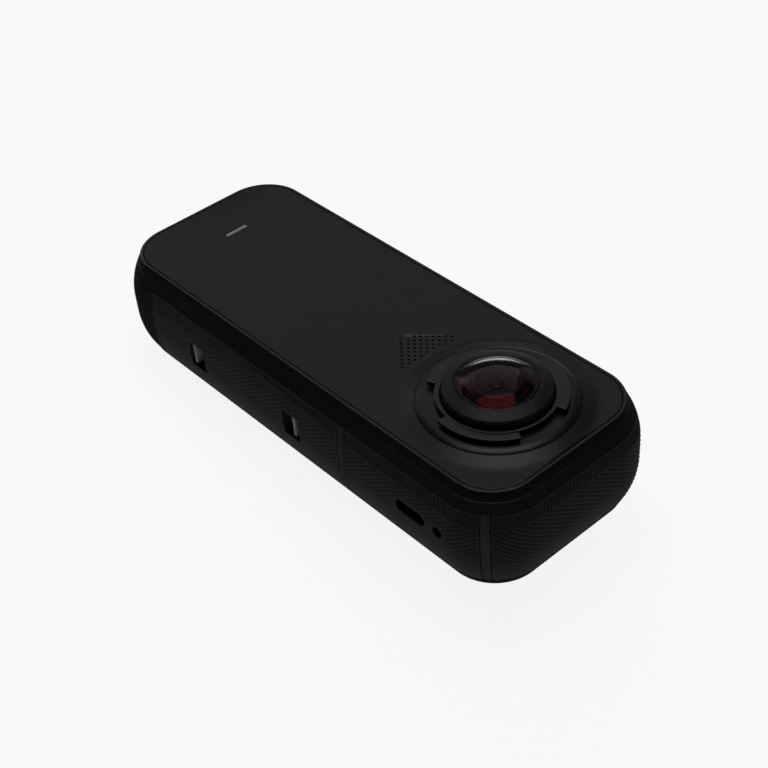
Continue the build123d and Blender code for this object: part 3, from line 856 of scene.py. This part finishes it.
class CAMERA_OT_grips(bpy.types.Operator):
    """Builds the three ribbed rubber grips on the sides and the lens end"""

    bl_idname = "camera.build_grips"
    bl_label = "Side grips"

    def execute(self, context):
        edge = sizes().edge_round / MM
        skin = wall_section(grip_top, grip_bottom, lambda d: side_radius(d) - grip_thick, 0.2, edge)
        fine = 0.19
        usb, mic = usb_place(), mic_place()
        right = wall(skin, [(straight, 0, upper_grip_low, core_y, fine), (rounded, 0, 0, side_grip_turn, fine)])
        cut_ribs(right, clear=[(usb.y, height(usb.z), (5.0, 2.3)), (mic.y, height(mic.z), (2.0, 2.0))])
        cut(right, capsule(usb, 8.4, 3.0, (15, 28)))
        hole = rod(1.3, 0, 0, -4, 4, 40)
        hole.rotation_euler = (0, math.radians(90), 0)
        hole.location = mic * MM
        cut(right, bake_place(hole))
        self.finish(right, "grip_skin_battery_side", "side_grip_battery_side")
        left = wall(skin, [(rounded, 1, 90 - side_grip_turn, 90, fine), (straight, 2, -core_y, base_seam, fine)])
        keys = side_key_places()
        cut_ribs(left, clear=[(key.y, height(key.z), (5.6, 3.0)) for key in keys])
        for key in keys:
            cut(left, capsule(key, 9.3, 4.1, (-28, -15)))
        self.finish(left, "grip_skin_button_side", "side_grip_button_side")
        end = wall(skin, [(rounded, 0, end_grip_turn, 90, fine), (straight, 1, -core_x, core_x, fine),
                          (rounded, 1, 0, 90 - end_grip_turn, fine)])
        cut_ribs(end, end_wall=True)
        self.finish(end, "grip_skin_lens_end", "side_grip_lens_end")
        return {"FINISHED"}

    def finish(self, skin, name, node):
        finished(smooth(skin, 60), name, "camera_body", "grip_rubber", soft_touch_rubber(), node)


# Operators: battery, door and latches

def latch_slots():
    """The middle of each slot in the door, from the latches' sliders."""
    return [Vector((door_box[1].x, y, node_middle("lower_battery_latch").z)) for y in (-30.6, 3.2)]


class CAMERA_OT_battery_door(bpy.types.Operator):
    """Builds the ribbed battery door with its two latch slots"""

    bl_idname = "camera.build_battery_door"
    bl_label = "Battery door"

    def execute(self, context):
        edge = sizes().edge_round / MM
        inside = door_box[0].x - core_x
        points = wall_section(grip_top, grip_bottom, lambda d: inside, 0.2, edge)
        door = wall(points, [(straight, 0, door_low, door_high, 0.19)])
        clear = [(slot.y, height(slot.z), (3.1, 3.7)) for slot in latch_slots()]
        cut_ribs(door, clear=clear)
        for slot in latch_slots():
            cut(door, block((15, slot.y - 2.7, slot.z - 3.3), (28, slot.y + 2.7, slot.z + 3.3), 0.35, axis=0,
                            segments=4))
        smooth(door, 60)
        finished(door, "battery_door_panel", "battery", "grip_rubber", soft_touch_rubber(), "battery_door")
        return {"FINISHED"}


class CAMERA_OT_latches(bpy.types.Operator):
    """Builds the two battery latches: a dark slider and the pale bar a finger moves"""

    bl_idname = "camera.build_latches"
    bl_label = "Latches"

    def execute(self, context):
        for node, body in (("lower_battery_latch", "lower_latch"), ("upper_battery_latch", "upper_latch")):
            low, high = node_box(node)
            middle = (low + high) / 2
            slot = latch_slots()[0 if body == "lower_latch" else 1]
            offset = -2.0 if body == "lower_latch" else 0.3
            slider = block(low, (low.x + 1.3, high.y, high.z), 0.6, axis=0, segments=6)
            round_edges(slider, 0.1)
            name = body + "_slider"
            finished(smooth(slider), name, body, "latch_plastic", slider_acetal(), node)
            centre = slot.y + offset
            bar = block((low.x + 1.2, centre - 0.48, middle.z - 3.1), (high.x, centre + 0.48, middle.z + 3.1), 0.3,
                        axis=0, segments=5)
            round_edges(bar, 0.16, segments=3)
            for side in (-1, 1):
                groove = block((high.x - 0.12, centre + 0.16 * side - 0.04, middle.z - 2.4),
                               (high.x + 1, centre + 0.16 * side + 0.04, middle.z + 2.4))
                cut(bar, groove)
            finished(smooth(bar), body + "_bar", body, "latch_plastic", latch_acetal(), node)
        return {"FINISHED"}


class CAMERA_OT_battery_pack(bpy.types.Operator):
    """Builds the battery's case with its latch pockets and a shallow recess in its front and rear faces"""

    bl_idname = "camera.build_battery_pack"
    bl_label = "Battery pack"

    def execute(self, context):
        low, high = node_box("battery_pack")
        case = block(low, high, 0.9, axis=0, segments=6)
        wall_x = core_x + inner_radius
        for slot in latch_slots():
            cut(case, block((wall_x - 2.2, slot.y - 6.2, slot.z - 4.2), (wall_x + 1, slot.y + 6.2, slot.z + 4.2)))
        middle = (low + high) / 2
        for face in (low.z, high.z):
            side = 1 if face > middle.z else -1
            cut(case, block((low.x + 4, low.y + 4, face - 0.12 * side - 0.5 * (side < 0) * 0),
                            (high.x - 5, high.y - 4, face + side)) if side > 0 else
                block((low.x + 4, low.y + 4, face - 1), (high.x - 5, high.y - 4, face + 0.12)))
        round_edges(case, 0.2, 50)
        finished(smooth(case), "battery_case", "battery", "battery_casing", battery_abs(), "battery_pack")
        return {"FINISHED"}


# Operators: lenses

def both_lenses(piece, name, node, body, slot, finish, angle=35):
    """Finishes a front lens piece and its twin at the rear."""
    rear = smooth(twin(piece), angle)
    smooth(piece, angle)
    for side, made in (("front", piece), ("rear", rear)):
        finished(made, f"{side}_{name}", body.format(side=side), slot, finish, f"{side}_{node}")


def lens_spun(points, **settings):
    return spun([(r, z_front + z) for r, z in points], **settings)


class CAMERA_OT_lens_mounts(bpy.types.Operator):
    """Builds the fixed rings under each lens: the seat in the cover and the three-lug flange"""

    bl_idname = "camera.build_lens_mounts"
    bl_label = "Lens mounts"

    def execute(self, context):
        inner = 12.55
        seat = lens_spun([(inner, -1.95), (seat_radius - 0.02, -1.95), (seat_radius - 0.02, hill_rise - 0.03),
                          (16.55, 1.2), (15.3, 1.5), (14.9, 1.58), (inner, 1.6)], steps=180)
        both_lenses(seat, "seat_ring", "lens_seat", "camera_body", "lens_metal", satin_polycarbonate())
        flange = lens_spun([(11.6, -1.85), (12.4, -1.85), (12.4, 2.2), (12.7, 2.2), (12.7, 3.0), (11.6, 3.0)],
                           steps=180)
        lugs = [lens_spun([(12.0, 2.22), (14.7, 2.22), (14.7, 2.99), (12.0, 2.99)], steps=40, turn=lug_span,
                          start=centre - lug_span / 2) for centre in lug_centres]
        flange = joined([round_edges(piece, 0.09, 30) for piece in (flange, *lugs)])
        both_lenses(flange, "flange_ring", "bayonet_flange", "camera_body", "lens_metal", anodised_ring())
        return {"FINISHED"}


class CAMERA_OT_lens_rings(bpy.types.Operator):
    """Builds the scalloped grip ring of each lens"""

    bl_idname = "camera.build_lens_rings"
    bl_label = "Lens grip rings"

    def execute(self, context):
        ring = lens_spun([(glass_radius + 0.05, 2.25), (11.4, 2.25), (11.4, 4.1), (11.1, 4.5), (9.3, 5.33),
                          (9.05, 5.4), (glass_radius + 0.05, 5.2)], steps=192)
        cutters = []
        for i in range(scallop_count):
            a = 2 * math.pi * i / scallop_count
            cutters.append(rod(0.85, 11.95 * math.cos(a), lens_y + 11.95 * math.sin(a), z_front + 3.4, z_front + 5,
                               24))
        cut(ring, joined(cutters))
        round_edges(ring, 0.06, 30)
        both_lenses(ring, "scalloped_ring", "lens_grip_ring", "{side}_lens", "lens_metal", moulded_ring(), 20)
        return {"FINISHED"}


class CAMERA_OT_lens_glass(bpy.types.Operator):
    """Builds each dome, and the stepped barrel and lens elements that show through it"""

    bl_idname = "camera.build_lens_glass"
    bl_label = "Lens glass"

    def execute(self, context):
        rise = sizes().dome_rise / MM
        outer = self.cap(glass_radius, 5.2, rise, 28)
        inner = self.cap(glass_radius - 1.2, 4.6, rise - 1.1, 24)
        dome = lens_spun([*outer, (glass_radius, 4.0), (glass_radius - 1.2, 4.0), *reversed(inner)], steps=128)
        both_lenses(dome, "dome", "dome_glass", "{side}_lens", "dome_glass", coated_glass())
        barrel = lens_spun([(4.3, 4.7), (4.4, 4.95), (4.65, 5.05), (4.95, 4.9), (5.3, 4.3), (5.9, 3.9),
                            (6.8, 3.4), (6.8, -1.0), (10.6, -1.6),
                            (10.6, -11.4), (7.0, -11.4), (7.0, -9.0), (4.3, -3.0)], steps=120)
        round_edges(barrel, 0.06, 30)
        both_lenses(barrel, "stepped_barrel", "lens_barrel", "camera_body", "lens_metal", blackened_barrel())
        pupil = 1.75
        crown = self.cap(pupil, 4.75, 5.25, 8)
        top = lens_spun([*crown, (pupil + 0.15, 4.45), (4.0, 4.3), (4.25, 4.4), (4.25, 1.6), (0, 1.6)], steps=96)
        middle = lens_spun([(0, 0.4), (4.3, 0.4), (4.3, -1.6), (0, -1.6)], steps=96)
        bottom = lens_spun([(0, -2.2), (4.3, -2.2), (4.3, -2.9), (0, -2.9)], steps=96)
        stack = joined([top, middle, bottom])
        both_lenses(stack, "lens_elements", "inner_lenses", "camera_body", "dome_glass", element_glass())
        return {"FINISHED"}

    def cap(self, edge_radius, edge_rise, apex_rise, count):
        """Points down a dome, from its apex to its edge."""
        sag = apex_rise - edge_rise
        ball = (edge_radius ** 2 + sag ** 2) / (2 * sag)
        full = math.asin(edge_radius / ball)
        points = []
        for i in range(count + 1):
            a = full * i / count
            points.append((ball * math.sin(a), apex_rise - ball + ball * math.cos(a)))
        return points


# Operators: controls, ports and trim

class CAMERA_OT_keys(bpy.types.Operator):
    """Builds the two round keys under the screen and the two long keys on the side"""

    bl_idname = "camera.build_keys"
    bl_label = "Keys"

    def execute(self, context):
        for node, body in (("shutter_button", "shutter_key"), ("lens_button", "lens_key")):
            low, high = node_box(node)
            middle = (low + high) / 2
            face = low.z
            points = [(0, face + 0.14), (1.6, face + 0.12), (3.2, face + 0.05), (3.9, face), (4.25, face)]
            points += [(4.6 - 0.35 + 0.35 * math.sin(a), face + 0.35 - 0.35 * math.cos(a))
                       for a in (0.5, 1.0, math.pi / 2)]
            points += [(4.6, high.z - 0.5), (5.35, high.z - 0.5), (5.35, high.z), (0, high.z)]
            cap = spun(points, middle.x, middle.y, steps=96)
            finished(smooth(cap), body + "_cap", body, "button_satin", key_plastic(), node)
        for node, body in (("power_button", "power_key"), ("quick_button", "quick_key")):
            low, high = node_box(node)
            middle = (low + high) / 2
            cap = capsule(middle, 9.0, 3.8, (low.x, high.x - 0.3))
            round_edges(cap, 0.3, 50, 4)
            flange = capsule(middle, 10.6, 5.4, (high.x - 0.6, high.x))
            finished(smooth(cut(cap, flange, "UNION")), body + "_cap", body, "button_satin", key_plastic(), node)
        return {"FINISHED"}


class CAMERA_OT_screen(bpy.types.Operator):
    """Builds the touchscreen's glass, with its polished edge"""

    bl_idname = "camera.build_screen"
    bl_label = "Screen"

    def execute(self, context):
        low, high = node_box("touchscreen_glass")
        pane = block(low, high, 3.0, segments=14)
        round_edges(pane, 0.16, segments=3)
        finished(smooth(pane), "screen_pane", "camera_body", "screen_glass", screen_glass(), "touchscreen_glass")
        return {"FINISHED"}


class CAMERA_OT_trim(bpy.types.Operator):
    """Builds the status window, the speaker's mesh and the socket with its tongue and contacts"""

    bl_idname = "camera.build_trim"
    bl_label = "Ports and trim"

    def execute(self, context):
        low, high = node_box("led_window")
        window = block((low.x + 0.03, low.y + 0.18, low.z + 0.1), (high.x - 0.03, high.y - 0.18, high.z), 0.5)
        round_edges(window, 0.12, 60, 3)
        foot = block(low, (high.x, high.y, low.z + 0.15), 0.3)
        finished(smooth(cut(window, foot, "UNION")), "status_window", "camera_body", "light_pipe",
                 frosted_acrylic(), "led_window")
        self.mesh_sheet()
        self.socket()
        return {"FINISHED"}

    def mesh_sheet(self):
        """A flat sheet behind the grille, with a round cut where it meets the lens seat."""
        low, high = node_box("grille_mesh")
        sheet = block(low, high, 1.0, segments=6)
        cut(sheet, rod(17.3, 0, lens_y, low.z - 2, high.z + 2, 96))
        round_edges(sheet, 0.05, 50)
        finished(smooth(sheet), "grille_cloth", "camera_body", "steel", seen_mesh(), "grille_mesh")

    def socket(self):
        low, high = node_box("usb_socket")
        middle = (low + high) / 2
        shell = capsule(middle, high.y - low.y, high.z - low.z, (low.x, high.x))
        cut(shell, capsule(middle, high.y - low.y - 0.6, high.z - low.z - 0.6, (low.x + 0.9, high.x + 1)))
        round_edges(shell, 0.08, 50)
        finished(smooth(shell), "socket_shell", "camera_body", "steel", stainless_steel(), "usb_socket")
        tongue = block((low.x + 0.5, middle.y - 3.35, middle.z - 0.33), (high.x - 0.5, middle.y + 3.35, middle.z + 0.33),
                       0.3, axis=0, segments=4)
        finished(smooth(round_edges(tongue, 0.08)), "socket_tongue", "camera_body", "bay_plastic", slider_acetal(),
                 "usb_socket")
        contacts = []
        for side in (-1, 1):
            for i in range(12):
                y = middle.y - 2.75 + 0.5 * i
                contacts.append(block((low.x + 1.4, y - 0.13, middle.z + 0.3 * side),
                                      (high.x - 1.2, y + 0.13, middle.z + 0.3 * side + 0.06 * side)
                                      if side > 0 else (high.x - 1.2, y + 0.13, middle.z - 0.36)))
        finished(closed(joined(contacts)), "socket_contacts", "camera_body", "gold_plate", gold_plating(),
                 "usb_socket")


class CAMERA_OT_tripod_insert(bpy.types.Operator):
    """Builds the brass-nickel insert in the base, with its quarter-inch thread"""

    bl_idname = "camera.build_tripod_insert"
    bl_label = "Tripod insert"

    def execute(self, context):
        low, high = node_box("tripod_insert")
        radius = (high.x - low.x) / 2
        length = high.y - low.y
        crest, root, pitch = 2.55, 2.95, 1.27
        bore = 8.0
        body = [(root + 0.35, 0), (radius - 0.25, 0), (radius, 0.25), (radius, length), (0, length), (0, bore),
                (root, bore), (root, 0.35)]
        insert = spun(body, 0, 0, steps=96)
        ridge = section([(root + 0.1, 0.45), (root + 0.1, 0.45 + 0.8 * pitch), (crest, 0.45 + 0.46 * pitch),
                         (crest, 0.45 + 0.34 * pitch)])
        thread = apply(ridge, "SCREW", axis="Z", angle=math.radians(360), screw_offset=pitch * MM, iterations=5,
                       steps=48, render_steps=48)
        piece = joined([insert, closed(thread)])
        piece.rotation_euler = (math.radians(-90), 0, 0)
        piece.location = Vector((0, low.y, z_mid)) * MM
        finished(smooth(bake_place(piece)), "threaded_insert", "camera_body", "steel", stainless_steel(),
                 "tripod_insert")
        return {"FINISHED"}


class CAMERA_OT_insides(bpy.types.Operator):
    """Gives the inner parts that keep their own shape their finishes"""

    bl_idname = "camera.finish_insides"
    bl_label = "Inner finishes"

    def execute(self, context):
        finishes = {
            seal_silicone: ("battery_seal", "front_dome_seal", "rear_dome_seal"),
            gold_plating: ("battery_terminals",),
            stainless_steel: ("latch_springs", "board_screws", "card_slot"),
            bay_nylon: ("battery_bay", "contact_block"),
            board_laminate: ("main_board", "side_switch_board", "usb_board"),
            chip_epoxy: ("board_chips", "button_switches", "speaker", "microphones", "memory_card",
                         "front_image_sensor", "rear_image_sensor"),
            spreader_sheet: ("heat_spreader",),
            polyimide_ribbon: ("display_flex", "sensor_flexes", "wireless_antenna"),
            dark_display: ("display_panel",),
        }
        for finish, names in finishes.items():
            for name in names:
                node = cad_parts[name]
                if not node.material_slots:
                    node.data.materials.append(None)
                for slot in node.material_slots:
                    slot.material = finish()
        return {"FINISHED"}


# The stage

def aimed(place, target, roll=0.0):
    """The rotation that points -Z from a place to a target."""
    look = (Vector(target) - Vector(place)).to_track_quat("-Z", "Y")
    return look.to_matrix().to_4x4() @ Matrix.Rotation(roll, 4, "Z")


class CAMERA_OT_stage(bpy.types.Operator):
    """Sets the floor, the studio light and the camera"""

    bl_idname = "camera.build_stage"
    bl_label = "Stage"

    def execute(self, context):
        self.floor()
        self.lights()
        self.camera()
        context.scene.view_settings.view_transform = "Standard"
        return {"FINISHED"}

    def floor(self):
        """A pale table under the body, which rests on its rear dome and on the far rim of its rear bezel."""
        deselect()
        bpy.ops.mesh.primitive_plane_add(size=6)
        floor = bpy.context.object
        tilt = math.atan2(z_rear, lens_y + half_length - 1)
        floor.rotation_euler = (-tilt, 0, 0)
        floor.location = (0, lens_y * MM, -0.05 * MM)
        floor.name = "floor"
        made = bpy.data.materials.new("white_card")
        made.use_nodes = True
        tree = made.node_tree
        tree.nodes.clear()
        diffuse = add(tree, "ShaderNodeBsdfDiffuse", {"Color": (0.4, 0.4, 0.4, 1)})
        glow = add(tree, "ShaderNodeEmission", {"Strength": 0.88})
        both = add(tree, "ShaderNodeAddShader", links={0: diffuse.outputs[0], 1: glow.outputs[0]})
        add(tree, "ShaderNodeOutputMaterial", links={"Surface": both.outputs[0]})
        floor.data.materials.append(made)
        floor.visible_glossy = False
        world = bpy.data.worlds.new("studio")
        bpy.context.scene.world = world
        world.use_nodes = True
        tree = world.node_tree
        tree.nodes.clear()
        seen = add(tree, "ShaderNodeLightPath").outputs["Is Camera Ray"]
        dim = add(tree, "ShaderNodeBackground", {"Color": (1, 1, 1, 1), "Strength": 0.03})
        pale = add(tree, "ShaderNodeBackground", {"Color": (1, 1, 1, 1), "Strength": 1.0})
        mix = add(tree, "ShaderNodeMixShader", links={0: seen, 1: dim.outputs[0], 2: pale.outputs[0]})
        add(tree, "ShaderNodeOutputWorld", links={"Surface": mix.outputs[0]})

    def area(self, name, place, size, power, target=(0, 0.02, 0.03), roll=0.0):
        deselect()
        bpy.ops.object.light_add(type="AREA")
        light = bpy.context.object
        light.name = name
        light.data.shape = "RECTANGLE"
        light.data.size, light.data.size_y = size
        light.data.energy = power
        light.matrix_world = Matrix.Translation(place) @ aimed(place, target, roll)
        light.visible_camera = False
        return light

    def lights(self):
        lens = Vector((0, lens_y * MM, 0.038))
        over = lens + 0.6 * Vector((-0.06, -0.075, 0.995))
        self.area("overhead_softbox", over, (0.46, 0.24), 0.42, lens)
        self.area("far_panel", Vector((-0.36, -0.45, 0.62)), (0.75, 0.68), 0.36)
        self.area("left_panel", lens + 0.7 * Vector((-0.06, -0.93, 0.37)), (0.3, 0.34), 0.07, lens)
        self.area("right_panel", lens + 0.7 * Vector((-0.89, -0.27, 0.37)), (0.3, 0.3), 0.03, lens)
        self.area("table_bounce", lens + 0.4 * Vector((-0.62, -0.78, -0.14)), (0.6, 0.17), 0.13, lens)

    def camera(self):
        azimuth, elevation, roll = (math.radians(a) for a in (141.46, 40.13, -5.14))
        aim = Vector((12.14, 20.06, z_front)) * MM
        distance = 296.4 * MM
        back = Vector((math.sin(azimuth) * math.cos(elevation), -math.cos(azimuth) * math.cos(elevation),
                       math.sin(elevation)))
        right = Vector((math.cos(azimuth), math.sin(azimuth), 0))
        up = back.cross(right)
        across = math.cos(roll) * right + math.sin(roll) * up
        upright = -math.sin(roll) * right + math.cos(roll) * up
        deselect()
        bpy.ops.object.camera_add()
        camera = bpy.context.object
        turn = Matrix((across, upright, back)).transposed().to_4x4()
        camera.matrix_world = Matrix.Translation(aim + back * distance) @ turn
        camera.data.sensor_width = 36
        camera.data.lens = 67.7
        camera.data.clip_start = 0.01
        bpy.context.scene.camera = camera


class CAMERA_PT_panel(bpy.types.Panel):
    """Lists the camera's sizes, colours and building steps"""

    bl_idname = "CAMERA_PT_panel"
    bl_label = "Action camera"
    bl_space_type = "VIEW_3D"
    bl_region_type = "UI"
    bl_category = "Camera"

    def draw(self, context):
        for group in (context.scene.camera_sizes, context.scene.camera_colours):
            box = self.layout.box()
            for name in group.__annotations__:
                box.prop(group, name)
        for operator in operators:
            self.layout.operator(operator.bl_idname)


operators = (
    CAMERA_OT_covers, CAMERA_OT_bezels, CAMERA_OT_housing, CAMERA_OT_grips, CAMERA_OT_battery_door,
    CAMERA_OT_latches, CAMERA_OT_battery_pack, CAMERA_OT_lens_mounts, CAMERA_OT_lens_rings, CAMERA_OT_lens_glass,
    CAMERA_OT_keys, CAMERA_OT_screen, CAMERA_OT_trim, CAMERA_OT_tripod_insert, CAMERA_OT_insides,
    CAMERA_OT_stage,
)
classes = (CameraSizes, CameraColours, *operators, CAMERA_PT_panel)


def register():
    for cls in classes:
        bpy.utils.register_class(cls)
    bpy.types.Scene.camera_sizes = bpy.props.PointerProperty(type=CameraSizes)
    bpy.types.Scene.camera_colours = bpy.props.PointerProperty(type=CameraColours)


def unregister():
    del bpy.types.Scene.camera_colours
    del bpy.types.Scene.camera_sizes
    for cls in reversed(classes):
        bpy.utils.unregister_class(cls)


def main():
    register()
    for operator in operators:
        group, name = operator.bl_idname.split(".")
        getattr(getattr(bpy.ops, group), name)()


if __name__ == "__main__":
    main()
